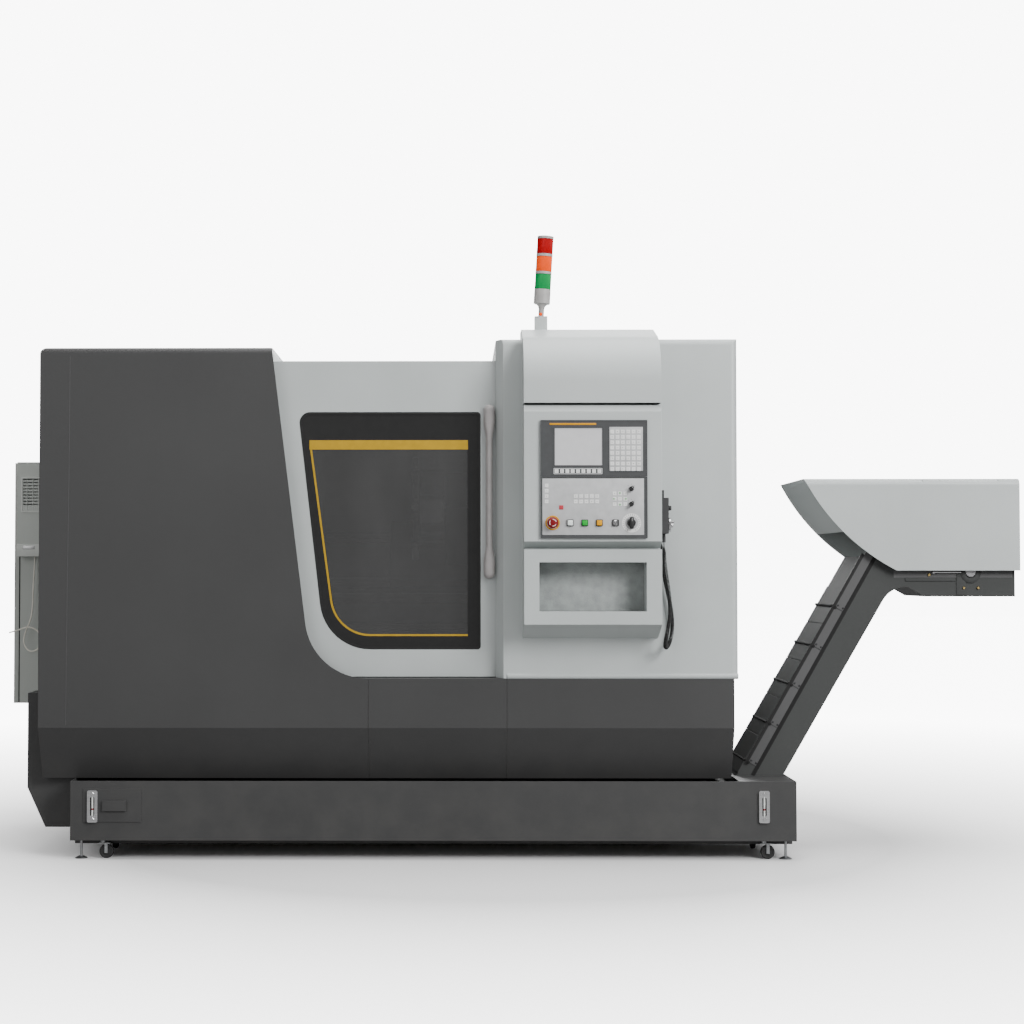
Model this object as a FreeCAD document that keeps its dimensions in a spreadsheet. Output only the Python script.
import FreeCAD, Part
import math
import os
import Sketcher

# A CNC turning lathe in its own frame: X to the right along the spindle, Y to the back, Z up.
# The origin is the middle of the whole machine's footprint, on the floor. Lengths are millimetres.

SIZES = {
    # sheet metal and fits
    "skin": 3, "seat": 0.3, "running": 0.05,
    # overall
    "machine_width": 2678, "machine_depth": 1750, "button_reach": 42,
    # heights above the floor
    "tank_floor": 74, "tank_height": 227, "crease_height": 503, "sill_height": 692,
    "door_top": 1916, "left_top": 1962, "right_top": 1993,
    # fronts, as distances behind the control face
    "cover_setback": 150, "apron_lean": 100, "door_setback": 66, "door_thickness": 30,
    # left cover and its slanted edge
    "left_cover_width": 892, "edge_slant": 157, "edge_round": 238, "left_seam": 1264,
    "skirt_reach": 71, "skirt_top": 627, "skirt_bend": 260, "skirt_bottom": 106, "skirt_setback": 150,
    "skirt_depth": 540,
    # right cover
    "right_cover_width": 897, "return_width": 28, "return_depth": 63, "cover_round": 25,
    "apron_seam": 884, "apron_step": 16,
    # door and window
    "door_width": 977, "door_overlap": 17,
    "window_right": 72, "window_bottom": 111, "window_top": 202, "window_foot": 594,
    "window_slant": 105, "window_round": 193, "window_corner": 38, "glass": 6,
    "handle_width": 44, "handle_length": 674, "handle_base": 379, "handle_inset": 14, "handle_reach": 38,
    # control box, hood and document pocket
    "control_width": 517, "control_inset": 306, "control_bottom": 1213, "control_height": 512,
    "fold_height": 24, "fold_depth": 12, "bevel_height": 25, "bevel_depth": 60,
    "hood_gap": 9, "hood_top": 2047, "hood_run": 300, "hood_shoulder": 1962, "hood_depth": 420,
    "hood_round": 190,
    "pocket_top": 1183, "pocket_height": 282, "pocket_bevel": 55, "pocket_gap": 54,
    "pocket_width": 408, "pocket_mouth": 190, "pocket_lip": 43, "pocket_depth": 118,
    # control unit
    "unit_width": 400, "unit_inset": 62, "unit_top": 57, "display_height": 211, "unit_seam": 2,
    "operator_height": 230, "bezel": 10, "unit_depth": 60, "unit_border": 12,
    "screen_width": 178, "screen_height": 140, "screen_left": 53, "screen_drop": 30, "screen_recess": 3,
    "key_size": 14, "key_pitch": 20, "key_rise": 2,
    "button_row": 57, "button_pitch": 54.7, "first_button": 110,
    # pendant
    "pendant_width": 30, "pendant_depth": 75, "pendant_height": 135, "pendant_base": 30,
    "pendant_setback": 40, "wheel_radius": 28, "wheel_reach": 22, "relief_length": 33,
    "selector_height": 97.2, "hose_radius": 3, "cord_radius": 9.5,
    # signal tower
    "tower_inset": 79, "tower_setback": 340, "tower_pivot": 45, "ear_width": 50, "pin_radius": 4,
    "pole_radius": 11, "pole_length": 62,
    "lamp_radius": 32, "lamp_height": 60, "lamp_ring": 10, "tower_base": 56, "tower_lean": 3.4,
    # coolant tank and its running gear
    "tank_left": 126, "tank_overhang": 218, "tank_depth": 580, "rail_height": 24,
    "caster_inset": 117, "caster_front": 55, "caster_row": 270, "caster_radius": 27,
    "caster_width": 20, "caster_trail": 14, "caster_plate": 50, "axle_radius": 3, "foot_radius": 24,
    "gauge_height": 122, "gauge_width": 42, "gauge_base": 70, "gauge_left": 67, "gauge_right": 104,
    "tube_radius": 3,
    "plate_left": 50, "plate_width": 222, "plate_height": 128, "plate_base": 70, "pull_width": 92,
    "pull_height": 40,
    # chip conveyor
    "conveyor_setback": 365, "conveyor_width": 340, "trough_height": 188, "trough_inset": 80,
    "incline_foot": 20, "incline_slope": 1.732, "casing_run": 182, "casing_round": 105,
    "head_floor": 1040, "head_height": 120, "chute_drop": 38, "chute_lead": 132,
    "head_length": 499, "shaft_inset": 175, "shaft_radius": 20,
    "sprocket_radius": 36.7, "belt_gap": 12, "belt_thickness": 8, "belt_bed": 90,
    "cover_bottom": 1104, "cover_height": 360, "cover_length": 842, "cover_curve": 360,
    "curve_corner": 123, "curve_round": 840, "cover_lead": 35, "cover_depth": 560, "cover_reach": 12,
    "gearbox_size": 140, "gearbox_depth": 110, "gearbox_rise": 112, "motor_length": 240,
    # electrical cabinet and its cooler
    "cabinet_reach": 252, "cabinet_depth": 900, "cabinet_bottom": 550, "cabinet_height": 1006,
    "cabinet_panel": 20, "cooler_width": 205, "cooler_depth": 70, "cooler_height": 393, "cooler_inset": 25,
    "module_width": 119,
    # spindle and slant bed
    "spindle_height": 1130, "spindle_setback": 600, "swing": 300, "spindle_rise": 250,
    "bed_left": 147, "bed_right": 81, "bed_slant": 771, "bed_front": 141, "bed_heel": 420,
    "bed_back": 100, "bed_base": 80, "bed_wall": 30, "bed_top": 1150,
    "chamber_left": 767, "chamber_right": 328, "chamber_front": 62,
    "headstock_length": 570, "headstock_low": 60, "headstock_width": 380, "headstock_height": 430,
    "spindle_radius": 75, "bar_radius": 33, "chuck_radius": 127, "chuck_length": 110, "chuck_gap": 18,
    "jaw_length": 75, "jaw_height": 62, "jaw_width": 40, "jaw_seat": 23, "jaw_inner": 45, "jaw_travel": 4,
    "rail_width": 30, "rail_thickness": 28, "saddle_rail": 415, "saddle_pitch": 270,
    "tail_rail": 145, "tail_pitch": 180,
    "turret_place": 677, "turret_rise": 330, "turret_radius": 165, "turret_length": 105,
    "tool_count": 8, "tool_reach": 50, "tool_size": 26, "saddle_length": 510, "saddle_thickness": 45,
    "slide_length": 245, "slide_thickness": 45, "housing_width": 210, "housing_height": 290,
    "tail_place": 320, "tail_length": 260, "tail_width": 240, "quill_radius": 45, "quill_nose": 90,
}

doc = FreeCAD.newDocument("TurningLathe")
sheet = doc.addObject("Spreadsheet::Sheet", "Sizes")
for row, (word, number) in enumerate(SIZES.items(), 1):
    sheet.set(f"A{row}", word)
    sheet.set(f"B{row}", str(number))
    sheet.setAlias(f"B{row}", word)
doc.recompute()


class Size:
    """A length that carries its value and the sheet formula that gives it."""

    def __init__(self, value, formula):
        self.value = float(value)
        self.formula = formula

    def __add__(self, other):
        other = sized(other)
        return Size(self.value + other.value, f"({self.formula} + {other.formula})")

    def __sub__(self, other):
        other = sized(other)
        return Size(self.value - other.value, f"({self.formula} - {other.formula})")

    def __mul__(self, other):
        other = sized(other)
        return Size(self.value * other.value, f"({self.formula} * {other.formula})")

    def __truediv__(self, other):
        other = sized(other)
        return Size(self.value / other.value, f"({self.formula} / {other.formula})")

    def __radd__(self, other):
        return sized(other) + self

    def __rsub__(self, other):
        return sized(other) - self

    def __rmul__(self, other):
        return sized(other) * self

    def __rtruediv__(self, other):
        return sized(other) / self

    def __neg__(self):
        return sized(0) - self

    def root(self):
        return Size(self.value ** 0.5, f"sqrt({self.formula})")


def sized(number):
    """A plain number as a Size; a Size stays as it is."""
    if isinstance(number, Size):
        return number
    return Size(number, f"({number})")


class Cells:
    """Each cell of the sheet as a Size, under its alias."""

    def __getattr__(self, word):
        return Size(sheet.get(word), f"Sizes.{word}")


S = Cells()
NODES = []


def node(label, thing):
    """Names a finished sub-part and keeps it for the export."""
    thing.Label = label
    NODES.append(thing)
    return thing


def bind(thing, prop, size):
    """Ties one property to its formula in the sheet."""
    thing.setExpression(prop, sized(size).formula)


TURNS = {
    "x": FreeCAD.Rotation(FreeCAD.Vector(0, 1, 0), 90),
    "-x": FreeCAD.Rotation(FreeCAD.Vector(0, 1, 0), -90),
    "y": FreeCAD.Rotation(FreeCAD.Vector(1, 0, 0), -90),
    "-y": FreeCAD.Rotation(FreeCAD.Vector(1, 0, 0), 90),
    "z": FreeCAD.Rotation(),
    "-z": FreeCAD.Rotation(FreeCAD.Vector(1, 0, 0), 180),
}
FLAT = FreeCAD.Rotation()
SLANT = FreeCAD.Rotation(FreeCAD.Vector(1, 0, 0), 45)


def place(thing, spot, turn=FLAT):
    """Puts a piece at a spot made of three Sizes, turned by a fixed rotation."""
    thing.Placement = FreeCAD.Placement(FreeCAD.Vector(), turn)
    for letter, size in zip("xyz", spot):
        bind(thing, f"Placement.Base.{letter}", size)


def block(low, high):
    """A box between two opposite corners."""
    box = doc.addObject("Part::Box", "block")
    for prop, start, end in zip(("Length", "Width", "Height"), low, high):
        bind(box, prop, sized(end) - start)
    place(box, low)
    return box


def rod(axis, start, length, radius):
    """A round bar from a start point along an axis."""
    bar = doc.addObject("Part::Cylinder", "rod")
    bind(bar, "Radius", radius)
    bind(bar, "Height", length)
    place(bar, start, TURNS[axis])
    return bar


def draw(body, plane, corners):
    """A closed sketch on one of a body's own planes; each corner is tied to the sheet."""
    sketch = body.newObject("Sketcher::SketchObject", "outline")
    origin = [face for face in body.Origin.OriginFeatures if face.Role == f"{plane}_Plane"][0]
    sketch.AttachmentSupport = [(origin, "")]
    sketch.MapMode = "FlatFace"
    spots = [FreeCAD.Vector(sized(u).value, sized(v).value) for u, v in corners]
    lines = [Part.LineSegment(a, b) for a, b in zip(spots, spots[1:] + spots[:1])]
    sketch.addGeometry(lines, False)
    for index in range(len(lines)):
        sketch.addConstraint(Sketcher.Constraint("Coincident", index, 2, (index + 1) % len(lines), 1))
    for index, (corner, spot) in enumerate(zip(corners, spots)):
        for kind, size, value in (("DistanceX", corner[0], spot.x), ("DistanceY", corner[1], spot.y)):
            number = sketch.addConstraint(Sketcher.Constraint(kind, -1, 1, index, 1, value))
            bind(sketch, f"Constraints[{number}]", size)
    return sketch


def prism(plane, corners, start, length):
    """A body padded from an outline; the pad starts at a distance along the third axis."""
    body = doc.addObject("PartDesign::Body", "prism")
    pad = body.newObject("PartDesign::Pad", "pad")
    pad.Profile = draw(body, plane, corners)
    pad.Reversed = plane == "XZ"
    bind(pad, "Length", length)
    spots = {"XZ": (0, start, 0), "YZ": (start, 0, 0), "XY": (0, 0, start)}
    place(body, spots[plane])
    doc.recompute()
    return body


def turned(axis, start, profile):
    """A body turned round an axis from (radius, distance along) corners."""
    body = doc.addObject("PartDesign::Body", "turned")
    spin = body.newObject("PartDesign::Revolution", "spin")
    sketch = draw(body, "XZ", profile)
    spin.Profile = sketch
    spin.ReferenceAxis = (sketch, ["V_Axis"])
    spin.Angle = 360
    place(body, start, TURNS[axis])
    doc.recompute()
    return body


def fillet(body, radius, spots):
    """Rounds the edges of a body that pass through the given spots, in the body's own frame."""
    shape = body.Tip.Shape
    points = [Part.Vertex(*(sized(size).value for size in spot)) for spot in spots]
    names = [f"Edge{index}" for index, edge in enumerate(shape.Edges, 1)
             if any(edge.distToShape(point)[0] < 0.01 for point in points)]
    base = body.Tip
    rounding = body.newObject("PartDesign::Fillet", "fillet")
    rounding.Base = (base, names)
    bind(rounding, "Radius", radius)
    doc.recompute()
    return body


def hollow(body, wall, openings):
    """Turns a body into a sheet shell, open on the faces whose outward sides are named."""
    base = body.Tip
    box = base.Shape.BoundBox
    ends = {"-x": box.XMin, "x": box.XMax, "-y": box.YMin, "y": box.YMax, "-z": box.ZMin, "z": box.ZMax}
    names = []
    for index, face in enumerate(base.Shape.Faces, 1):
        flat = face.BoundBox
        spans = {"x": (flat.XMin, flat.XMax), "y": (flat.YMin, flat.YMax), "z": (flat.ZMin, flat.ZMax)}
        if any(max(abs(edge - ends[side]) for edge in spans[side[-1]]) < 0.01 for side in openings):
            names.append(f"Face{index}")
    shell = body.newObject("PartDesign::Thickness", "shell")
    shell.Base = (base, names)
    shell.Reversed = True
    bind(shell, "Value", wall)
    doc.recompute()
    return body


def cut(base, *tools):
    """A piece with others taken away from it."""
    for tool in tools:
        result = doc.addObject("Part::Cut", "cut")
        result.Base = base
        result.Tool = tool
        base = result
    return base


def fuse(*pieces):
    """Several pieces welded into one solid."""
    result = doc.addObject("Part::MultiFuse", "fuse")
    result.Shapes = list(pieces)
    result.Refine = True
    return result


def group(*pieces):
    """Separate solids that share one sub-part."""
    result = doc.addObject("Part::Compound", "group")
    result.Links = list(pieces)
    return result


# Places along X, from the left end of the cabinet to the right end of the chip conveyor.
tank_top = S.tank_floor + S.tank_height
conveyor_reach = S.incline_foot + S.casing_run + (S.head_floor - tank_top) / S.incline_slope + S.head_length
left_end = -(S.cabinet_reach + S.machine_width + conveyor_reach) / 2
machine_left = left_end + S.cabinet_reach
machine_right = machine_left + S.machine_width
seam_x = machine_left + S.left_seam
right_cover_left = machine_right - S.right_cover_width
door_right = right_cover_left - S.door_overlap
door_left = door_right - S.door_width
control_right = machine_right - S.control_inset
control_left = control_right - S.control_width
chamber_left = machine_left + S.chamber_left
chamber_right = machine_right - S.chamber_right

# Places along Y, from the front of the control buttons to the back of the machine.
control_face = S.button_reach - (S.button_reach + S.machine_depth) / 2
machine_back = control_face + S.machine_depth
cover_front = control_face + S.cover_setback
door_front = cover_front + S.door_setback
door_back = door_front + S.door_thickness
spindle_y = control_face + S.spindle_setback

# The slant bed's own frame: its corner is the low front end of the slanted face at the machine's left.
half_root = sized(0.5).root()
slant_y = spindle_y - (S.spindle_rise - S.swing) * half_root
slant_z = S.spindle_height - (S.spindle_rise + S.swing) * half_root


def on_slant(x, up, out):
    """A spot given along X, up the slanted face and out from it."""
    up = sized(up)
    out = sized(out)
    return (x, slant_y + (up - out) * half_root, slant_z + (up + out) * half_root)


def slant_block(low, high):
    """A box that lies square to the slanted face."""
    box = doc.addObject("Part::Box", "slant_block")
    for prop, start, end in zip(("Length", "Width", "Height"), low, high):
        bind(box, prop, sized(end) - start)
    place(box, on_slant(*low), SLANT)
    return box


def slanted_edge(height):
    """Where the left cover's slanted edge stands at a height."""
    share = (S.left_top - height) / (S.left_top - S.sill_height)
    return machine_left + S.left_cover_width + S.edge_slant * share


# Left cover: one folded sheet over the headstock end, cut back along a slanted and rounded edge.
def left_cover():
    apron_foot = tank_top + S.seat
    folded = prism("YZ", [(cover_front, S.crease_height), (cover_front, S.left_top),
                          (machine_back, S.left_top), (machine_back, apron_foot),
                          (cover_front + S.apron_lean, apron_foot)], machine_left, S.left_seam)
    fillet(folded, S.cover_round, [(0, cover_front + S.cover_setback, S.left_top),
                                   (S.left_seam / 2, cover_front, S.left_top)])
    hollow(folded, S.skin, ["x", "y", "-z"])
    beyond = S.cover_setback
    mouth = prism("XZ", [(slanted_edge(S.left_top + beyond), S.left_top + beyond),
                         (seam_x + beyond, S.left_top + beyond), (seam_x + beyond, S.sill_height),
                         (slanted_edge(S.sill_height), S.sill_height)], control_face,
                  S.machine_depth + beyond)
    fillet(mouth, S.edge_round, [(slanted_edge(S.sill_height), beyond, S.sill_height)])
    return node("left_cover", cut(folded, mouth))


# Lower panels: the skirt round the left end, the two aprons under the door and the door's sill.
def lower_panels():
    left = machine_left - S.skirt_reach
    tank_end = machine_left + S.tank_left - S.seat
    skirt = prism("XZ", [(machine_left - S.seat, S.skirt_top), (left, S.skirt_top), (left, S.skirt_bend),
                         (machine_left, S.skirt_bottom), (tank_end, S.skirt_bottom),
                         (tank_end, tank_top), (machine_left - S.seat, tank_top)],
                  cover_front + S.skirt_setback, S.skirt_depth)
    hollow(skirt, S.skin, ["y"])
    front = cover_front
    foot = tank_top + S.seat
    lip = door_front - S.skin
    step_x = machine_right - S.apron_seam
    middle = prism("YZ", [(front, S.crease_height), (front, S.sill_height), (lip, S.sill_height),
                          (lip, S.sill_height - S.skin), (front + S.skin, S.sill_height - S.skin),
                          (front + S.skin, S.crease_height), (front + S.apron_lean + S.skin, foot),
                          (front + S.apron_lean, foot)], seam_x + S.seat, step_x - seam_x - S.seat)
    right = prism("YZ", [(front, S.crease_height), (front, S.sill_height), (machine_back, S.sill_height),
                         (machine_back, foot), (front + S.apron_lean, foot)],
                  step_x + S.seat, machine_right - S.apron_step - step_x - S.seat)
    hollow(right, S.skin, ["-x", "y", "-z", "z"])
    sill = block((chamber_left, front + S.skin, S.sill_height - S.skin), (seam_x, lip, S.sill_height))
    return node("lower_panels", group(skirt, middle, right, sill))


# Right cover: front plate with a chamfered return beside the door, right end and top.
def right_cover():
    left = right_cover_left - S.return_width
    front = cover_front
    inner = front + S.return_depth
    cover = prism("XY", [(left, inner), (right_cover_left, front), (machine_right, front),
                         (machine_right, machine_back), (left, machine_back)],
                  S.sill_height + S.seat, S.right_top - S.sill_height - S.seat)
    height = S.right_top - S.sill_height - S.seat
    fillet(cover, S.cover_round, [(machine_right, front, height / 2),
                                  ((right_cover_left + machine_right) / 2, front, height)])
    hollow(cover, S.skin, ["y", "-z"])
    side_gap = block((left - S.skin, inner, S.sill_height - S.skin),
                     (left + 2 * S.skin, machine_back + S.skin, S.door_top + S.skin))
    return node("right_cover", cut(cover, side_gap))


# Roof over the door bay and the back of the whole machine, one folded sheet with a turned-up left edge.
def rear_cover():
    left = machine_left + S.left_cover_width
    roof_right = right_cover_left - S.return_width
    roof = block((left - S.skin, door_back + S.skin, S.door_top),
                 (roof_right, machine_back, S.door_top + S.skin))
    step = block((left - S.skin, cover_front + S.cover_round, S.door_top),
                 (left, machine_back, S.left_top - S.skin))
    back = block((machine_left + S.skin, machine_back - S.skin, tank_top),
                 (machine_right - S.apron_step - S.skin, machine_back, S.door_top + S.skin))
    back_left = prism("XZ", [(machine_left + S.skin, S.left_top - S.skin), (left, S.left_top - S.skin),
                             (left, S.door_top), (machine_left + S.skin, S.door_top)],
                      machine_back - S.skin, S.skin)
    fillet(back_left, S.cover_round - S.skin, [(machine_left + S.skin, S.skin / 2, S.left_top - S.skin)])
    back_right = block((roof_right + S.skin, machine_back - S.skin, S.sill_height + 2 * S.seat),
                       (machine_right - S.skin, machine_back, S.right_top - S.skin))
    return node("rear_cover", fuse(roof, step, back, back_left, back_right))


# Rails: two for the carriage and two for the tailstock on the slanted face, and the door's hanging rail.
def guide_rails():
    start = chamber_left + S.chuck_gap
    end = chamber_right - S.chuck_gap
    rails = []
    for low in (S.tail_rail, S.tail_rail + S.tail_pitch, S.saddle_rail, S.saddle_rail + S.saddle_pitch):
        rails.append(slant_block((start, low, 0), (end, low + S.rail_width, S.rail_thickness)))
    ledge = S.door_top - 2 * S.rail_width
    hanger = block((machine_left + S.skin, door_back + S.skin, ledge - 2 * S.skin),
                   (door_right, door_back + S.rail_width, ledge))
    web = block((machine_left + S.skin, door_back + S.rail_width, ledge - 2 * S.skin),
                (door_right, door_back + S.rail_width + 2 * S.skin, S.door_top))
    return node("guide_rails", group(*rails, fuse(hanger, web)))


# Door: a folded pan with the window opening, hung from two hooks on its back.
def window_corners(inset):
    """The window's outline in X and Z, drawn inwards by an inset."""
    right = door_right - S.window_right - inset
    low = S.sill_height + S.window_bottom + inset
    high = S.door_top - S.window_top - inset
    foot = door_right - S.window_foot - S.window_right + inset
    return [(foot - S.window_slant, high), (right, high), (right, low), (foot, low)]


def window_pane(inset, start, depth):
    """A flat piece of the window's outline with its rounded left corners."""
    corners = window_corners(inset)
    pane = prism("XZ", corners, start, depth)
    fillet(pane, S.window_corner - inset, [(corners[0][0], depth / 2, corners[0][1])])
    fillet(pane, S.window_round - inset, [(corners[3][0], depth / 2, corners[3][1])])
    return pane


def door():
    low = S.sill_height + S.skin
    high = S.door_top - S.skin
    pan = prism("XZ", [(door_left, low), (door_left, high), (door_right, high), (door_right, low)],
                door_front, S.door_thickness)
    hollow(pan, S.skin, ["y"])
    pan = cut(pan, window_pane(S.skin, door_front - S.skin, 3 * S.skin))
    ledge = S.door_top - 2 * S.rail_width
    hooks = []
    for share in (0.15, 0.85):
        x = door_left + S.door_width * share
        hooks.append(block((x - S.rail_width, door_front + S.skin, ledge + S.seat),
                           (x + S.rail_width, door_back + S.rail_width - S.skin, high - S.skin)))
    node("door_panel", fuse(pan, *hooks))
    node("window_glass", window_pane(-S.window_corner / 2, door_front + S.skin, S.glass))
    right = door_right - S.handle_inset
    handle_low = S.sill_height + S.handle_base
    grip = block((right - S.handle_width, door_front - S.handle_reach, handle_low),
                 (right, door_front, handle_low + S.handle_length))
    post = S.handle_width
    hand_gap = block((right - post - S.skin, door_front - S.handle_reach / 2, handle_low + post),
                     (right + S.skin, door_front + S.skin, handle_low + S.handle_length - post))
    node("door_handle", cut(grip, hand_gap))


# Control box, the hood above it and the document pocket below, all on the right cover's front.
def control_box():
    top = S.control_bottom + S.control_height
    face = control_face
    box = prism("YZ", [(face, S.control_bottom), (face, top - S.fold_height), (face + S.fold_depth, top),
                       (cover_front, top), (cover_front, S.control_bottom - S.bevel_height),
                       (face + S.bevel_depth, S.control_bottom - S.bevel_height)],
                control_left, S.control_width)
    hollow(box, S.skin, ["y"])
    left = control_left + S.unit_inset + S.unit_border
    unit_high = top - S.unit_top
    unit_low = unit_high - S.display_height - S.unit_seam - S.operator_height
    mouth = block((left - S.seat, face - S.skin, unit_low + S.unit_border - S.seat),
                  (left + S.unit_width - 2 * S.unit_border + S.seat, face + 2 * S.skin,
                   unit_high - S.unit_border + S.seat))
    gland_y = face + S.pendant_setback + S.pendant_depth + S.cord_radius + S.skin
    arm_z = S.control_bottom + 2 * S.bevel_height
    gland = rod("-z", (control_right + S.cord_radius, gland_y, arm_z), S.relief_length,
                S.cord_radius - S.skin)
    arm = block((control_right, gland_y - S.cord_radius, arm_z),
                (control_right + 2 * S.cord_radius, gland_y + S.cord_radius, arm_z + 2 * S.skin))
    return node("control_box", group(cut(box, mouth), fuse(arm, gland)))


def hood_form(wall, foot):
    """The hood's outer form, or its hollow when it is drawn in by the sheet's thickness."""
    face = control_face + wall
    back = control_face + S.hood_depth - wall
    form = prism("YZ", [(face, foot), (face, S.hood_shoulder), (face + S.hood_run, S.hood_top - wall),
                        (back, S.hood_top - wall), (back, S.right_top + wall),
                        (cover_front - wall, S.right_top + wall), (cover_front - wall, foot)],
                 control_left + wall, S.control_width - 2 * wall)
    return fillet(form, S.hood_round - wall, [(S.control_width / 2, face, S.hood_shoulder)])


def hood():
    face = control_face
    low = S.control_bottom + S.control_height + S.hood_gap
    shell = cut(hood_form(sized(0), low), hood_form(S.skin, low - S.skin))
    ledge = block((control_left + S.skin, face + S.bevel_depth, low - S.hood_gap),
                  (control_right - S.skin, cover_front, low))
    x = control_left + S.tower_inset
    y = face + S.tower_setback
    gap = S.pole_radius + S.seat
    ear = gap + 2 * S.skin
    ears = []
    for near, far in ((-ear, -gap), (gap, ear)):
        ears.append(block((x - S.ear_width / 2, y + near, S.hood_top),
                          (x + S.ear_width / 2, y + far, S.hood_top + S.tower_pivot + S.pole_radius)))
    socket = fuse(rod("z", (x, y, S.hood_top), S.skin, S.lamp_radius), *ears,
                  rod("y", (x, y - ear, S.hood_top + S.tower_pivot), 2 * ear, S.pin_radius))
    return node("hood", group(shell, ledge, socket))


def document_pocket():
    face = control_face
    top = S.pocket_top
    low = top - S.pocket_height
    box = prism("YZ", [(face, low), (face, top), (cover_front, top), (cover_front, low - S.pocket_bevel)],
                control_left, S.control_width)
    hollow(box, S.skin, ["y"])
    left = control_left + S.pocket_gap
    high = top - S.pocket_lip - S.skin
    tray = block((left, face, high - S.pocket_mouth), (left + S.pocket_width, face + S.pocket_depth, high))
    room = block((left + S.skin, face - S.skin, high - S.pocket_mouth + S.skin),
                 (left + S.pocket_width - S.skin, face + S.pocket_depth - S.skin, high - S.skin))
    bridge = block((control_left, face + S.bevel_depth, top), (control_right, cover_front,
                                                              S.control_bottom - S.bevel_height))
    return node("document_pocket", group(cut(fuse(box, tray), room), bridge))


# Control unit: the display unit over the operator panel, let into the control box's front.
unit_left = control_left + S.unit_inset
unit_high = S.control_bottom + S.control_height - S.unit_top
unit_mid = unit_high - S.display_height
panel_high = unit_mid - S.unit_seam
panel_low = panel_high - S.operator_height
panel_front = control_face - S.bezel
button_z = panel_low + S.button_row


def button_x(number):
    """Where a button of the lower row sits; the first one is the white push button."""
    return unit_left + S.first_button + number * S.button_pitch


def stem_radius():
    return S.foot_radius / 3


def control_unit():
    face = control_face
    border = S.unit_border
    display = fuse(block((unit_left, panel_front, unit_mid), (unit_left + S.unit_width, face, unit_high)),
                   block((unit_left + border, face, unit_mid + border),
                         (unit_left + S.unit_width - border, face + S.unit_depth, unit_high - border)))
    screen_left = unit_left + S.screen_left
    screen_high = unit_high - S.screen_drop
    recess = block((screen_left, panel_front - S.skin, screen_high - S.screen_height),
                   (screen_left + S.screen_width, panel_front + S.screen_recess, screen_high))
    display = cut(display, recess)
    panel = fuse(block((unit_left, panel_front, panel_low), (unit_left + S.unit_width, face, panel_high)),
                 block((unit_left + border, face, panel_low + border),
                       (unit_left + S.unit_width - border, face + S.unit_depth / 2, panel_high - border)))
    holes = []
    for x, z in control_spots():
        holes.append(rod("y", (x, panel_front - S.skin, z), S.unit_depth, stem_radius() + S.running))
    node("control_unit", group(display, cut(panel, *holes)))
    glass_front = panel_front + S.skin / 2
    node("screen", block((screen_left + S.seat, glass_front, screen_high - S.screen_height + S.seat),
                         (screen_left + S.screen_width - S.seat, panel_front + S.screen_recess,
                          screen_high - S.seat)))


def control_spots():
    """Centres of everything that turns or is pressed on the operator panel."""
    row = [(button_x(number), button_z) for number in (-1.2, 0, 1, 2, 3.1, 4.2)]
    side = button_x(4.2)
    return row + [(side, panel_high - S.button_row + S.unit_border), (side, panel_high - 2 * S.button_row
                                                                      + S.unit_border)]


def key_block(left, low, columns, rows):
    """A field of membrane keys standing out of the panel's face."""
    keys = []
    for column in range(columns):
        for line in range(rows):
            x = left + column * S.key_pitch
            z = low + line * S.key_pitch
            keys.append(block((x, panel_front - S.key_rise, z),
                              (x + S.key_size, panel_front, z + S.key_size)))
    return keys


def panel_keys():
    keypad_left = unit_left + S.screen_left + S.screen_width + 1.5 * S.key_pitch
    keys = key_block(keypad_left, unit_mid + S.key_pitch, 6, 8)
    keys += key_block(unit_left + S.screen_left, unit_mid + S.unit_border, 9, 1)
    keys += key_block(button_x(0) + S.key_size, panel_high - 5 * S.key_pitch, 5, 2)
    keys += key_block(button_x(2) + 2.5 * S.key_pitch, panel_high - 5.5 * S.key_pitch, 3, 3)
    keys += key_block(unit_left + S.unit_border + S.skin, panel_high - 5 * S.key_pitch, 1, 4)
    return node("panel_keys", group(*keys))


def pressed(label, spot, head_radius, head_depth, travel):
    """A push button: its head stands clear of the panel by its travel, on a stem through the panel."""
    x, z = spot
    back = panel_front - travel
    stem = stem_radius()
    head = turned("-y", (x, back, z), [(0, -S.bezel - 2 * travel), (stem, -S.bezel - 2 * travel), (stem, 0),
                                      (head_radius, 0), (head_radius, head_depth - S.skin),
                                      (head_radius - S.skin, head_depth), (0, head_depth)])
    return node(label, head)


def turned_knob(label, spot, radius, depth, blade):
    """A rotary switch: a round skirt on a shaft through the panel, with a grip across its face."""
    x, z = spot
    stem = stem_radius()
    skirt = turned("-y", (x, panel_front - S.seat, z), [(0, -S.bezel - S.skin), (stem, -S.bezel - S.skin),
                                                       (stem, 0), (radius, 0), (radius, depth / 3),
                                                       (radius - S.skin, depth / 2), (0, depth / 2)])
    grip = block((x - blade / 2, panel_front - S.seat - depth, z - radius + S.skin),
                 (x + blade / 2, panel_front - S.seat - depth / 3, z + radius - S.skin))
    return node(label, fuse(skirt, grip))


def buttons():
    spots = control_spots()
    travel = S.skin
    reach = S.button_reach - S.bezel - travel
    pressed("emergency_stop", spots[0], S.foot_radius - S.skin, reach, travel)
    for label, spot in zip(("push_button_white", "push_button_green", "push_button_amber"), spots[1:4]):
        pressed(label, spot, S.unit_border, S.bezel, travel)
    turned_knob("key_switch", spots[4], S.unit_border, S.unit_border, S.skin)
    turned_knob("override_knob", spots[5], S.foot_radius, S.foot_radius, S.bezel)
    turned_knob("selector_upper", spots[6], S.unit_border, S.foot_radius, S.skin * 2)
    turned_knob("selector_lower", spots[7], S.unit_border, S.foot_radius, S.skin * 2)


# Handwheel pendant on the control box's right side, with its curly cord.
pendant_y = control_face + S.pendant_setback + S.pendant_depth / 2
pendant_low = S.control_bottom + S.pendant_base
pendant_face = control_right + S.pendant_width


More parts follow.
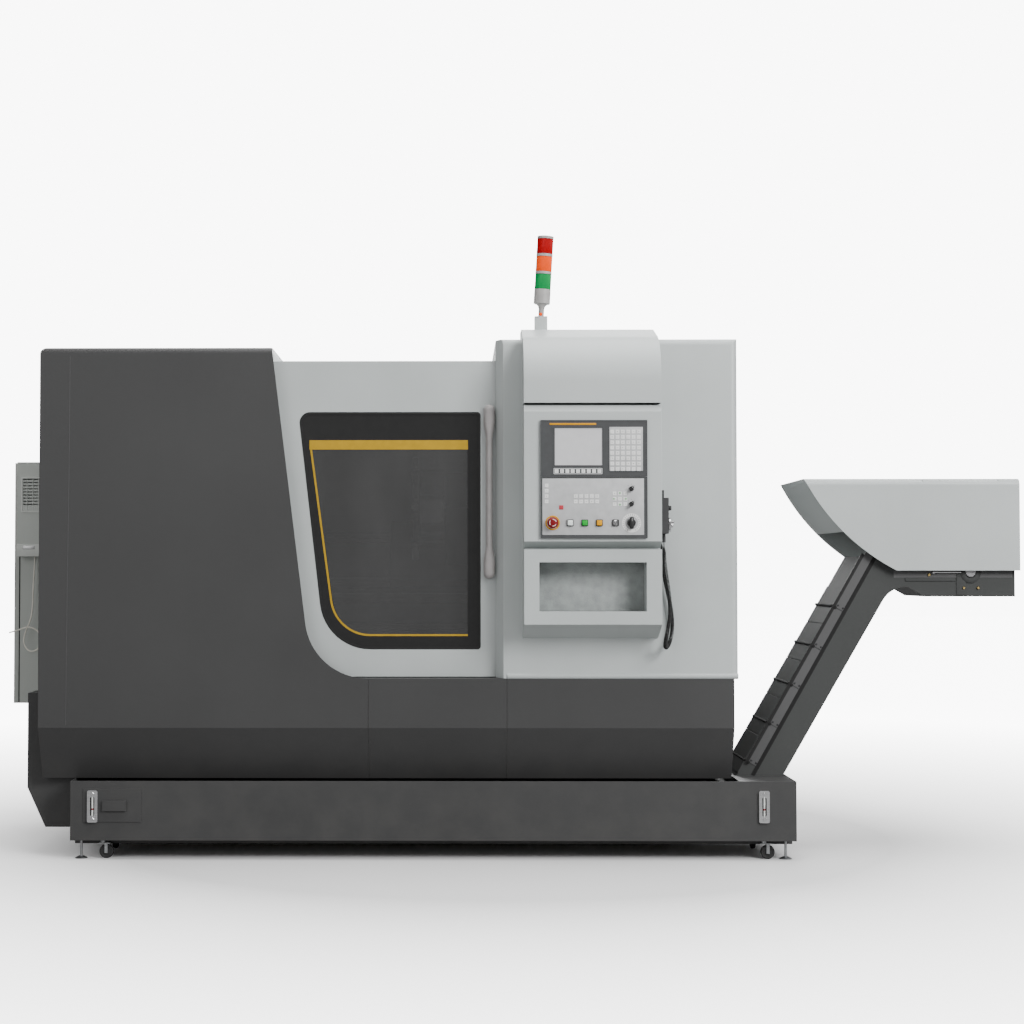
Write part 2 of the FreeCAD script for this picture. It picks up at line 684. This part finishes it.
def pendant():
    case = block((control_right, pendant_y - S.pendant_depth / 2, pendant_low),
                 (pendant_face, pendant_y + S.pendant_depth / 2, pendant_low + S.pendant_height))
    x = control_right + S.pendant_width / 2
    hook = block((control_right, pendant_y - S.bezel, pendant_low + S.pendant_height),
                 (x, pendant_y + S.bezel, pendant_low + S.pendant_height + S.pendant_width))
    relief = rod("-z", (x, pendant_y, pendant_low), S.relief_length, S.cord_radius - S.skin)
    wheel_z = pendant_low + S.pendant_height / 4
    selector_z = pendant_low + S.selector_height
    hole = S.bezel / 2 + S.running
    wheel_hole = rod("-x", (pendant_face + S.skin, pendant_y, wheel_z), S.pendant_width / 2, hole)
    selector_hole = rod("-x", (pendant_face + S.skin, pendant_y, selector_z), S.pendant_width / 2, hole)
    node("pendant_case", group(cut(case, wheel_hole, selector_hole), hook, relief))
    stem = S.bezel / 2
    rim = S.wheel_reach / 2
    foot = pendant_face + S.seat
    node("handwheel", turned("x", (foot, pendant_y, wheel_z),
                             [(0, -S.bezel), (stem, -S.bezel), (stem, 0), (S.wheel_radius, 0),
                              (S.wheel_radius, rim), (S.wheel_radius - S.skin, rim + S.skin),
                              (S.wheel_radius / 2, rim + S.skin), (S.wheel_radius / 2, S.wheel_reach),
                              (0, S.wheel_reach)]))
    node("axis_selector", turned("x", (foot, pendant_y, selector_z),
                                 [(0, -S.bezel), (stem, -S.bezel), (stem, 0), (S.bezel, 0),
                                  (S.bezel, S.bezel), (S.bezel - S.skin, S.bezel + S.skin),
                                  (0, S.bezel + S.skin)]))


# Signal tower on its folding socket, leaning a little to the right.
def tower():
    x = control_left + S.tower_inset
    y = control_face + S.tower_setback
    pivot = S.hood_top + S.tower_pivot
    lean = FreeCAD.Rotation(FreeCAD.Vector(0, 1, 0), S.tower_lean.value)
    radius = S.lamp_radius
    base = S.pole_length + S.tower_base
    step = S.lamp_height + S.lamp_ring
    core = radius - S.lamp_ring
    profile = [(0, -S.pole_radius), (S.pole_radius, -S.pole_radius), (S.pole_radius, S.pole_length),
               (radius, S.pole_length), (radius, base)]
    for number in range(3):
        low = base + number * step
        profile += [(core, low), (core, low + S.lamp_height), (radius, low + S.lamp_height),
                    (radius, low + step)]
    profile[-1] = (radius, base + 3 * step)
    profile += [(0, base + 3 * step)]
    eye = rod("y", (0, -2 * S.pole_radius, 0), 4 * S.pole_radius, S.pin_radius + S.running)
    pole = cut(turned("z", (0, 0, 0), profile), eye)
    for name in ("tower_pole", "red", "orange", "green"):
        if name == "tower_pole":
            thing = pole
        else:
            level = base + ("green", "orange", "red").index(name) * step
            thing = turned("z", (x, y, pivot), [(core + S.seat, level + S.seat), (radius, level + S.seat),
                                                (radius, level + S.lamp_height - S.seat),
                                                (core + S.seat, level + S.lamp_height - S.seat)])
        place(thing, (x, y, pivot), lean)
        node(name if name == "tower_pole" else f"lamp_{name}", thing)


# Coolant tank on casters, with its access plate, gauges and levelling feet.
tank_left = machine_left + S.tank_left
tank_right = machine_right + S.tank_overhang
tank_back = cover_front + S.tank_depth
conveyor_front = control_face + S.conveyor_setback
conveyor_back = conveyor_front + S.conveyor_width
foot_x = machine_right + S.incline_foot


def coolant_tank():
    front = cover_front
    tub = cut(block((tank_left, front, S.tank_floor), (tank_right, tank_back, tank_top)),
              block((tank_left + S.skin, front + S.skin, S.tank_floor + S.skin),
                    (tank_right - S.skin, tank_back - S.skin, tank_top + S.skin)))
    deck = cut(block((machine_right, front + S.skin, tank_top - S.skin),
                     (tank_right - S.skin, tank_back - S.skin, tank_top)),
               block((foot_x - 2 * S.skin, conveyor_front - S.skin, tank_top - 2 * S.skin),
                     (foot_x + S.casing_run + S.skin, conveyor_back + S.skin, tank_top + S.skin)))
    skids = []
    for row in (front + 2 * S.caster_front - S.bezel, tank_back - 3 * S.bezel):
        skids.append(block((tank_left, row, S.tank_floor - S.rail_height), (tank_right, row + 2 * S.bezel,
                                                                           S.tank_floor)))
    left = tank_left + S.plate_left
    low = S.tank_floor + S.plate_base
    plate = block((left, front - S.skin, low), (left + S.plate_width, front, low + S.plate_height))
    pull_left = left + S.plate_width / 3
    pull_low = low + S.plate_height / 3
    pull = block((pull_left, front - S.skin - S.bezel, pull_low),
                 (pull_left + S.pull_width, front - S.skin, pull_low + S.pull_height))
    return node("coolant_tank", group(tub, deck, *skids, plate, pull))


def tank_gauges():
    low = S.tank_floor + S.gauge_base
    pieces = []
    for left, face in ((tank_left + S.gauge_left, cover_front - S.skin),
                       (tank_right - S.gauge_right - S.gauge_width, cover_front)):
        frame = block((left, face - S.bezel, low), (left + S.gauge_width, face, low + S.gauge_height))
        slot = block((left + S.bezel, face - S.bezel - S.skin, low + S.bezel),
                     (left + S.gauge_width - S.bezel, face - S.skin, low + S.gauge_height - S.bezel))
        tube = rod("z", (left + S.gauge_width / 2, face - S.bezel / 2 - S.skin / 2, low + S.bezel),
                   S.gauge_height - 2 * S.bezel, S.tube_radius)
        pieces += [cut(frame, slot), tube]
    return node("tank_gauges", group(*pieces))


CASTERS = [("front_left", 0, 0), ("front_right", 1, 0), ("rear_left", 0, 1), ("rear_right", 1, 1)]


def caster_spot(right, rear):
    """Where a caster's kingpin stands."""
    x = (tank_left + S.caster_inset, tank_right - S.caster_inset)[right]
    return x, cover_front + S.caster_front + rear * S.caster_row


def fork(x, y, axle):
    """A caster fork; the wheel's axle runs along the named axis, behind the kingpin by the trail."""
    leg = S.caster_width / 2 + S.seat
    out = leg + S.skin
    crown = S.caster_radius * 2 + S.skin
    trail = S.caster_trail

    def spot(roll, across, height):
        return (x + roll, y + across, height) if axle == "y" else (x + across, y + roll, height)

    top = S.tank_floor - S.skin - S.seat
    pieces = [block(spot(-S.caster_trail, -out, crown), spot(2 * trail, out, crown + S.skin)),
              rod("z", spot(0, 0, crown + S.skin), top - crown - S.skin, S.bezel)]
    low = S.caster_radius - 2 * S.axle_radius
    for near, far in ((-out, -leg), (leg, out)):
        pieces.append(block(spot(trail - 2 * S.axle_radius, near, low),
                            spot(trail + 2 * S.axle_radius, far, crown + S.skin)))
    pieces.append(rod(axle, spot(trail, -out, S.caster_radius), 2 * out, S.axle_radius))
    return fuse(*pieces)


def casters():
    """Swivel casters in front, fixed ones behind; the fixed forks join the floor fittings."""
    fixed = []
    for name, right, rear in CASTERS:
        x, y = caster_spot(right, rear)
        axle = "x" if rear else "y"
        half = S.caster_plate / 2
        fixed.append(block((x - half, y - half, S.tank_floor - S.skin), (x + half, y + half, S.tank_floor)))
        if rear:
            fixed.append(fork(x, y, axle))
        else:
            node(f"caster_fork_{name}", fork(x, y, axle))
        bore = S.axle_radius + S.running
        width = S.caster_width
        start = ((x + S.caster_trail, y - width / 2, S.caster_radius), (x - width / 2, y + S.caster_trail,
                                                                        S.caster_radius))[rear]
        node(f"caster_wheel_{name}", turned(axle, start, [
            (bore, 0), (S.caster_radius - S.skin, 0), (S.caster_radius, S.skin),
            (S.caster_radius, width - S.skin), (S.caster_radius - S.skin, width), (bore, width)]))
    return fixed


heel_y = tank_back + 2 * S.bezel
bed_back_y = machine_back - S.bed_back
bed_left_x = machine_left + S.bed_left
bed_right_x = machine_right - S.bed_right


def floor_fittings():
    """Fixed caster forks, the tank's levelling feet and the bed's six levelling pads."""
    pieces = casters()
    for x in (tank_left + S.foot_radius + S.bezel, tank_right - S.foot_radius - S.bezel):
        y = cover_front + S.caster_front
        pieces.append(turned("z", (x, y, 0), [(0, 0), (S.foot_radius, 0), (S.foot_radius, S.skin),
                                              (S.bezel, S.bezel), (S.bezel / 2, S.bezel),
                                              (S.bezel / 2, S.tank_floor), (0, S.tank_floor)]))
    pad = 2 * S.foot_radius
    for y in (heel_y + S.bed_wall / 2, bed_back_y - S.bed_wall / 2):
        for share in (0.06, 0.5, 0.94):
            x = bed_left_x + (bed_right_x - bed_left_x) * share
            profile = [(0, 0), (pad, 0), (pad, 2 * S.bezel), (S.bezel, 3 * S.bezel),
                       (S.bezel, S.bed_base), (0, S.bed_base)]
            pieces.append(turned("z", (x, y, 0), profile))
    return node("floor_fittings", group(*pieces))


# Chip conveyor: trough in the tank, a sixty degree incline and a level head.
slope_share = (1 + 1 / (S.incline_slope * S.incline_slope)).root()
right_end = -left_end
casing_end = right_end - S.cover_reach
shaft_x = casing_end - S.shaft_inset
shaft_z = S.head_floor + S.head_height / 2
chute_low = S.head_floor - S.chute_drop
casing_left = foot_x - 2 * S.bed_wall
trough_left = tank_left + S.trough_inset


def incline(height, offset):
    """X of the incline's upper face at a height, moved across the casing by an offset."""
    return foot_x + offset + (height - tank_top) / S.incline_slope


def conveyor_outline(left, inset, deck):
    """Side outline from the trough up the incline to the head, drawn in by an inset."""
    shift = inset * slope_share
    floor = S.tank_floor + S.skin + inset
    low = S.head_floor + inset
    high = S.head_floor + S.head_height - inset
    return [(left, floor), (left, deck), (incline(deck, shift), deck), (incline(high, shift), high)], \
           [(incline(low, S.casing_run - shift), low), (incline(floor, S.casing_run - shift), floor)]


def conveyor_casing():
    deck = S.tank_floor + S.skin + S.trough_height
    start, end = conveyor_outline(casing_left, sized(0), deck)
    high = S.head_floor + S.head_height
    lead = incline(S.head_floor, S.casing_run)
    head = [(casing_end, high), (casing_end, chute_low), (lead + S.chute_lead, chute_low),
            (lead + S.chute_lead / 2, S.head_floor)]
    casing = prism("XZ", start + head + end, conveyor_front, S.conveyor_width)
    fillet(casing, S.casing_round, [(end[0][0], S.conveyor_width / 2, end[0][1])])
    hollow(casing, S.skin, ["-x"])
    chute = block((shaft_x + S.sprocket_radius + S.belt_gap + S.belt_thickness, conveyor_front + S.bezel,
                   chute_low - S.skin),
                  (casing_end - S.bezel, conveyor_back - S.bezel, chute_low + 2 * S.skin))
    bore = rod("y", (shaft_x, conveyor_front - S.skin, shaft_z), S.conveyor_width + 2 * S.skin,
               S.shaft_radius + S.running)
    floor = S.tank_floor + S.skin
    trough = cut(block((trough_left, conveyor_front, floor), (casing_left, conveyor_back, deck)),
                 block((trough_left + S.skin, conveyor_front + S.skin, floor + S.skin),
                       (casing_left + S.skin, conveyor_back - S.skin, deck + S.skin)))
    lids = []
    lid_low = tank_top + S.bezel
    lid_run = (S.head_floor - lid_low) / 5
    for number in range(5):
        low = lid_low + lid_run * number + S.skin
        top = lid_low + lid_run * (number + 1)
        lids.append(prism("XZ", [(incline(low, 0), low), (incline(top, 0), top),
                                 (incline(top, -S.skin), top), (incline(low, -S.skin), low)],
                          conveyor_front, S.conveyor_width))
    return node("conveyor_casing", group(trough, cut(casing, chute, bore), *lids))


belt_inset = S.head_height / 2 - S.sprocket_radius - S.seat - S.belt_thickness


def conveyor_belt():
    """The closed band; it wraps the sprockets, so it lies as far inside the head as they let it."""
    rings = []
    for depth, grow in ((sized(0), sized(0)), (S.belt_thickness, S.skin)):
        inset = belt_inset + depth
        deck = S.tank_floor + 2 * S.skin + S.belt_gap + S.belt_bed - depth
        start, end = conveyor_outline(trough_left + inset, inset, deck)
        tip = shaft_x + S.sprocket_radius + S.belt_thickness + S.skin - depth
        nose = [(tip, S.head_floor + S.head_height - inset), (tip, S.head_floor + inset)]
        rings.append(prism("XZ", start + nose + end, conveyor_front + S.bezel - grow,
                           S.conveyor_width - 2 * S.bezel + 2 * grow))
    return node("conveyor_belt", cut(*rings))


def conveyor_drive():
    bore = S.shaft_radius
    wheel = S.sprocket_radius
    near = S.bezel + 4 * S.bezel
    far = S.conveyor_width - 4 * S.bezel
    reach = S.bezel + S.conveyor_width + S.gearbox_depth
    disc = 2 * S.bezel
    node("conveyor_head_shaft", turned("y", (shaft_x, conveyor_front - S.bezel, shaft_z), [
        (0, 0), (bore, 0), (bore, near), (wheel, near), (wheel, near + disc), (bore, near + disc),
        (bore, far), (wheel, far), (wheel, far + disc), (bore, far + disc),
        (bore, reach - S.skin), (0, reach - S.skin)]))
    half = S.gearbox_size / 2
    back = conveyor_back + S.gearbox_depth
    box = block((shaft_x - half, conveyor_back, shaft_z - half), (shaft_x + half, back, shaft_z + S.gearbox_rise))
    hole = rod("y", (shaft_x, conveyor_back - S.skin, shaft_z), S.gearbox_depth + S.skin, bore + S.running)
    motor = rod("-x", (shaft_x - half, conveyor_back + S.gearbox_depth / 2 + S.skin, shaft_z + half),
                S.motor_length, S.gearbox_depth / 2)
    node("gear_motor", fuse(cut(box, hole), motor))


def head_cover_form(wall, foot):
    """The head cover's outer form, or its hollow when it is drawn in by the sheet's thickness."""
    left = right_end - S.cover_length
    low = S.cover_bottom
    top = low + S.cover_height - wall
    corner = S.curve_corner + wall
    form = prism("XZ", [(left + wall, top), (right_end - wall, top), (right_end - wall, foot),
                        (left + S.cover_curve + wall, foot), (left + corner, low + corner)],
                 conveyor_front - S.cover_lead + wall, S.cover_depth - 2 * wall)
    fillet(form, S.curve_round - wall, [(left + corner, S.cover_depth / 2, low + corner)])
    return fillet(form, S.cover_round - wall, [((left + right_end) / 2, 0, top)])


def conveyor_head_cover():
    left = right_end - S.cover_length
    low = S.cover_bottom
    top = low + S.cover_height
    front = conveyor_front - S.cover_lead
    cover = cut(head_cover_form(sized(0), low), head_cover_form(S.skin, low - S.skin))
    start, end = conveyor_outline(casing_left, -S.skin, S.tank_floor)
    passage = prism("XZ", start[2:] + [(left + S.cover_curve + S.casing_run, end[0][1])] + end[:1],
                    conveyor_front - S.skin, S.conveyor_width + 2 * S.skin)
    high = S.head_floor + S.head_height
    ribs = []
    for share in (0.55, 0.9):
        x = left + S.cover_length * share
        ribs.append(block((x, front + S.skin, high + S.seat), (x + S.skin, conveyor_back, top - S.skin)))
    return node("conveyor_head_cover", fuse(cut(cover, passage), *ribs))


# Electrical cabinet on the left end, with its door and cooler.
cabinet_front = machine_back - S.cabinet_depth


def cabinet():
    low = S.cabinet_bottom
    high = low + S.cabinet_height
    inner = left_end + S.cabinet_panel + S.seat
    case = cut(block((inner, cabinet_front, low), (machine_left, machine_back, high)),
               block((inner - S.skin, cabinet_front + S.skin, low + S.skin),
                     (machine_left - S.skin, machine_back - S.skin, high - S.skin)))
    modules = []
    for number in range(5):
        y = cabinet_front + 2 * S.cooler_depth + number * 2 * S.cooler_depth
        modules.append(block((machine_left - S.skin - 2 * S.cooler_depth, y, low + 4 * S.cooler_depth),
                             (machine_left - S.skin, y + S.module_width, high - 3 * S.cooler_depth)))
    node("cabinet_body", group(case, *modules))
    inner = left_end + S.cabinet_panel
    pan = block((left_end, cabinet_front, low), (inner, machine_back, high))
    hollow_side = block((left_end + S.skin, cabinet_front + S.skin, low + S.skin),
                        (inner + S.skin, machine_back - S.skin, high - S.skin))
    node("cabinet_door", cut(pan, hollow_side))
    x = left_end + S.cooler_inset
    foot = high - S.cooler_height
    cooler = block((x, cabinet_front - S.cooler_depth, foot), (x + S.cooler_width, cabinet_front, high))
    room = block((x + S.skin, cabinet_front - S.cooler_depth + S.skin, foot + S.skin),
                 (x + S.cooler_width - S.skin, cabinet_front - S.skin, high - S.skin))
    slots = []
    left = x + S.cooler_inset
    right = x + S.cooler_width - S.cooler_inset
    face = cabinet_front - S.cooler_depth
    for number in range(9):
        z = high - S.cooler_depth - number * (S.bezel + S.skin)
        slots.append(block((left, face - S.skin, z - S.bezel / 2), (right, face + 2 * S.skin, z)))
    node("cabinet_cooler", cut(cooler, room, *slots))


# Slant bed, chamber walls, headstock and spindle.
def bed():
    top_y = slant_y + S.bed_slant * half_root
    top_z = slant_z + S.bed_slant * half_root
    casting = prism("YZ", [(slant_y, slant_z), (top_y, top_z), (bed_back_y, S.bed_top),
                           (bed_back_y, S.bed_base), (heel_y, S.bed_base), (heel_y, S.bed_heel),
                           (slant_y, slant_z - S.bed_front)], bed_left_x, bed_right_x - bed_left_x)
    return node("bed", hollow(casting, S.bed_wall, ["-z"]))


def chamber_liner():
    front = door_back + S.chamber_front
    top_y = slant_y + (S.bed_slant - S.bed_wall) * half_root
    top_z = slant_z + (S.bed_slant - S.bed_wall) * half_root + S.skin / 2
    base = tank_top + 2 * S.skin
    rear = slant_y - S.seat
    side = [(front, S.sill_height), (front, S.door_top), (top_y, S.door_top), (top_y, top_z),
            (rear, slant_z + S.skin / 2), (rear, base), (conveyor_front, base)]
    left = prism("YZ", side, chamber_left - S.skin, S.skin)
    left = cut(left, rod("x", (chamber_left - 2 * S.skin, spindle_y, S.spindle_height), 3 * S.skin,
                         S.spindle_radius + S.bezel))
    right = prism("YZ", side, chamber_right, S.skin)
    back = block((chamber_left - S.skin, top_y, top_z + S.skin),
                 (chamber_right + S.skin, top_y + S.skin, S.door_top))
    chute = prism("YZ", [(door_back + S.skin, S.sill_height), (door_back + 3 * S.skin, S.sill_height),
                         (conveyor_front, base + 2 * S.skin), (conveyor_front, base)],
                  chamber_left, chamber_right - chamber_left)
    return node("chamber_liner", group(left, right, back, chute))


def headstock():
    left = chamber_left - S.skin - S.headstock_length
    high = S.headstock_low + S.headstock_width
    casting = slant_block((left, S.headstock_low, 0), (chamber_left - S.skin, high, S.headstock_height))
    bore = rod("x", (left - S.skin, spindle_y, S.spindle_height), S.headstock_length + 2 * S.skin,
               S.spindle_radius + S.running)
    return node("headstock", cut(casting, bore))


def spoke(start, end, inner, outer, width, angle, centre):
    """A block that points outwards from an axis along X, at an angle from straight up."""
    box = doc.addObject("Part::Box", "spoke")
    bind(box, "Length", end - start)
    bind(box, "Width", width)
    bind(box, "Height", outer - inner)
    sine = math.sin(math.radians(angle))
    cosine = math.cos(math.radians(angle))
    half = width / 2
    place(box, (start, centre[0] - half * cosine - inner * sine, centre[1] - half * sine + inner * cosine),
          FreeCAD.Rotation(FreeCAD.Vector(1, 0, 0), angle))
    return box


JAW_ANGLES = {"upper": 0, "front": 120, "rear": 240}


def spindle():
    rear = chamber_left - S.skin - S.headstock_length - S.bed_wall
    cylinder_length = S.chuck_length
    nose = chamber_left - rear - S.skin
    flange = nose + S.chuck_gap
    shaft = turned("x", (rear, spindle_y, S.spindle_height), [
        (S.bar_radius, -cylinder_length), (S.spindle_radius + S.bed_wall / 2, -cylinder_length),
        (S.spindle_radius + S.bed_wall / 2, 0), (S.spindle_radius, 0), (S.spindle_radius, flange),
        (S.bar_radius, flange)])
    back = rear + flange
    face = back + S.chuck_length
    chuck = turned("x", (back, spindle_y, S.spindle_height), [
        (S.bar_radius, 0), (S.chuck_radius - S.bezel, 0), (S.chuck_radius, S.bezel),
        (S.chuck_radius, S.chuck_length - S.skin), (S.chuck_radius - S.skin, S.chuck_length),
        (S.bar_radius, S.chuck_length)])
    slots = []
    centre = (spindle_y, S.spindle_height)
    for name, angle in JAW_ANGLES.items():
        foot = face - S.jaw_seat
        slots.append(spoke(foot - S.running, face + S.skin, S.jaw_inner - 2 * S.jaw_travel,
                           S.chuck_radius + S.bezel, S.jaw_width + 2 * S.running, angle, centre))
        node(f"chuck_jaw_{name}", spoke(foot, foot + S.jaw_length, S.jaw_inner, S.jaw_inner + S.jaw_height,
                                        S.jaw_width, angle, centre))
    return node("spindle", group(shaft, cut(chuck, *slots)))


# Carriage, cross slide and turret on the upper rails; tailstock on the lower ones.
turret_x = chamber_left + S.turret_place
turret_up = S.spindle_rise + S.turret_rise


def carriage():
    low = S.saddle_rail - S.rail_width
    high = S.saddle_rail + S.saddle_pitch + 2 * S.rail_width
    start = turret_x - S.slide_length / 2
    foot = S.rail_thickness + S.seat
    plate = slant_block((start, low, foot), (start + S.saddle_length, high, foot + S.saddle_thickness))
    top = foot + S.saddle_thickness + S.seat
    slide_start = turret_x + S.turret_length + S.bezel
    slide_low = turret_up - S.housing_width / 2
    base = slant_block((slide_start, slide_low, top),
                       (slide_start + S.slide_length, high, top + S.slide_thickness))
    housing = slant_block((slide_start, slide_low, top + S.slide_thickness),
                          (slide_start + S.housing_width, slide_low + S.housing_width,
                           top + S.slide_thickness + S.housing_height))
    axis = on_slant(slide_start - S.skin, turret_up, S.swing)
    bore = rod("x", axis, S.housing_width / 2, 2 * S.skin + S.quill_radius + S.running)
    node("carriage", plate)
    node("cross_slide", cut(fuse(base, housing), bore))
    centre = on_slant(turret_x, turret_up, S.swing)
    stem = 2 * S.skin + S.quill_radius
    disc = turned("x", centre, [
        (0, 0), (S.turret_radius - S.bezel, 0), (S.turret_radius, S.bezel),
        (S.turret_radius, S.turret_length), (stem, S.turret_length),
        (stem, S.turret_length + S.housing_width / 3), (0, S.turret_length + S.housing_width / 3)])
    tools = []
    for number in range(int(SIZES["tool_count"])):
        angle = 360 / SIZES["tool_count"] * number + 135
        tools.append(spoke(turret_x - S.tool_size, turret_x, S.turret_radius - 2 * S.tool_reach + S.bezel,
                           S.turret_radius + S.tool_reach, S.tool_size, angle, centre[1:]))
    node("turret", fuse(disc, *tools))


def tailstock():
    start = chamber_right - S.tail_place
    foot = S.rail_thickness + S.seat
    half = S.tail_width / 2
    crown = S.swing + S.quill_radius + 2 * S.bezel
    casting = slant_block((start, S.spindle_rise - half, foot),
                          (start + S.tail_length, S.spindle_rise + half, crown))
    bore = rod("x", (start - S.skin, spindle_y, S.spindle_height), S.tail_length + 2 * S.skin,
               S.quill_radius + S.running)
    node("tailstock", cut(casting, bore))
    radius = S.quill_radius
    tip = start - S.quill_nose - S.bezel
    shoulder = S.quill_nose - 2 * S.bezel
    node("quill", turned("x", (tip, spindle_y, S.spindle_height), [
        (0, 0), (radius / 2, shoulder / 2), (radius / 2, shoulder), (radius, shoulder),
        (radius, S.quill_nose + S.tail_length), (0, S.quill_nose + S.tail_length)]))


# Hanging cords: straight runs joined by tangent arcs.
def cord(label, points, radius):
    """A tube along hand-placed points; each bend is as wide as its two runs allow."""
    spots = [FreeCAD.Vector(*point) for point in points]
    edges = []
    start = spots[0]
    bends = []
    for before, corner, after in zip(spots, spots[1:], spots[2:]):
        inward = (corner - before).normalize()
        outward = (after - corner).normalize()
        turn = inward.getAngle(outward)
        reach = 0.45 * min((corner - before).Length, (after - corner).Length)
        bend = reach / math.tan(turn / 2)
        bends.append(bend)
        first = corner - inward * reach
        last = corner + outward * reach
        middle = corner + (outward - inward).normalize() * (bend / math.cos(turn / 2) - bend)
        edges.append(Part.LineSegment(start, first).toShape())
        edges.append(Part.Arc(first, middle, last).toShape())
        start = last
    edges.append(Part.LineSegment(start, spots[-1]).toShape())
    path = Part.Wire(edges)
    ring = Part.Wire(Part.Circle(spots[0], spots[1] - spots[0], radius).toShape())
    tube = path.makePipeShell([ring], True, True)
    thing = doc.addObject("Part::Feature", label)
    thing.Shape = tube
    share = tube.Volume / (math.pi * radius ** 2 * path.Length)
    print(label, "length", round(path.Length), "bends", [round(bend) for bend in bends],
          "volume share", round(share, 4))
    return node(label, thing)


def pendant_cord():
    """Curly cord from the handwheel pendant down in a loop and back up to the control box."""
    x = (control_right + S.pendant_width / 2).value
    y = pendant_y.value
    top = (pendant_low - S.relief_length).value
    home_x = (control_right + S.cord_radius).value
    home_y = (control_face + S.pendant_setback + S.pendant_depth + S.cord_radius + S.skin).value
    home_z = (S.control_bottom + 2 * S.bevel_height - S.relief_length).value
    points = [(x, y, top), (x, y, top - 45), (x + 4, y - 8, top - 100), (x + 12, y - 20, top - 160),
              (x + 19, y - 30, top - 222), (x + 18, y - 36, top - 283), (x + 7, y - 35, top - 338),
              (x + 1, y - 16, top - 386), (x + 8, y + 16, top - 402), (x + 26, y + 40, top - 380),
              (x + 37, y + 47, top - 326), (x + 34, y + 49, top - 264), (x + 21, y + 50, top - 202),
              (x + 7, y + 50, top - 140), (x - 3, y + 49, top - 78), (home_x, home_y, home_z - 42),
              (home_x, home_y, home_z)]
    return cord("pendant_cord", points, S.cord_radius.value)


def drain_hose():
    """Thin hose from the cooler's drain, hanging in one loose turn with its end sticking out."""
    x = (left_end + S.cooler_inset + S.cooler_width / 3).value
    y = (cabinet_front - S.cooler_depth / 2).value
    z = (S.cabinet_bottom + S.cabinet_height - S.cooler_height).value
    points = [(x, y, z), (x - 2, y - 1, z - 60), (x - 6, y - 3, z - 125), (x - 6, y - 5, z - 195),
              (x - 12, y - 8, z - 260), (x - 36, y - 12, z - 312), (x - 44, y - 16, z - 362),
              (x - 18, y - 20, z - 398), (x + 22, y - 24, z - 388), (x + 38, y - 28, z - 348),
              (x + 22, y - 32, z - 306), (x - 20, y - 36, z - 290), (x - 58, y - 40, z - 306),
              (x - 96, y - 42, z - 316)]
    return cord("drain_hose", points, S.hose_radius.value)


left_cover()
lower_panels()
right_cover()
rear_cover()
guide_rails()
door()
control_box()
hood()
document_pocket()
control_unit()
panel_keys()
buttons()
pendant()
tower()
coolant_tank()
tank_gauges()
floor_fittings()
conveyor_casing()
conveyor_belt()
conveyor_drive()
conveyor_head_cover()
cabinet()
bed()
chamber_liner()
headstock()
spindle()
carriage()
tailstock()
pendant_cord()
drain_hose()

# Every object is checked before anything is written.
doc.recompute()
for thing in doc.Objects:
    if "Invalid" in thing.State or "Error" in thing.State:
        raise RuntimeError(f"{thing.Name} ({thing.Label}) did not build: {thing.State}")
for thing in NODES:
    if thing.Shape.isNull() or not thing.Shape.isValid() or not thing.Shape.Solids:
        raise RuntimeError(f"{thing.Label} is not a valid solid")
os.makedirs("parts", exist_ok=True)
for thing in NODES:
    thing.Shape.exportStep(f"parts/{thing.Label}.step")
    box = thing.Shape.BoundBox
    print(f"{thing.Label:24s} {len(thing.Shape.Solids):3d} solids {thing.Shape.Volume / 1e6:9.2f} l",
          f"X {box.XMin:8.1f} {box.XMax:8.1f}  Y {box.YMin:8.1f} {box.YMax:8.1f}",
          f"Z {box.ZMin:8.1f} {box.ZMax:8.1f}")
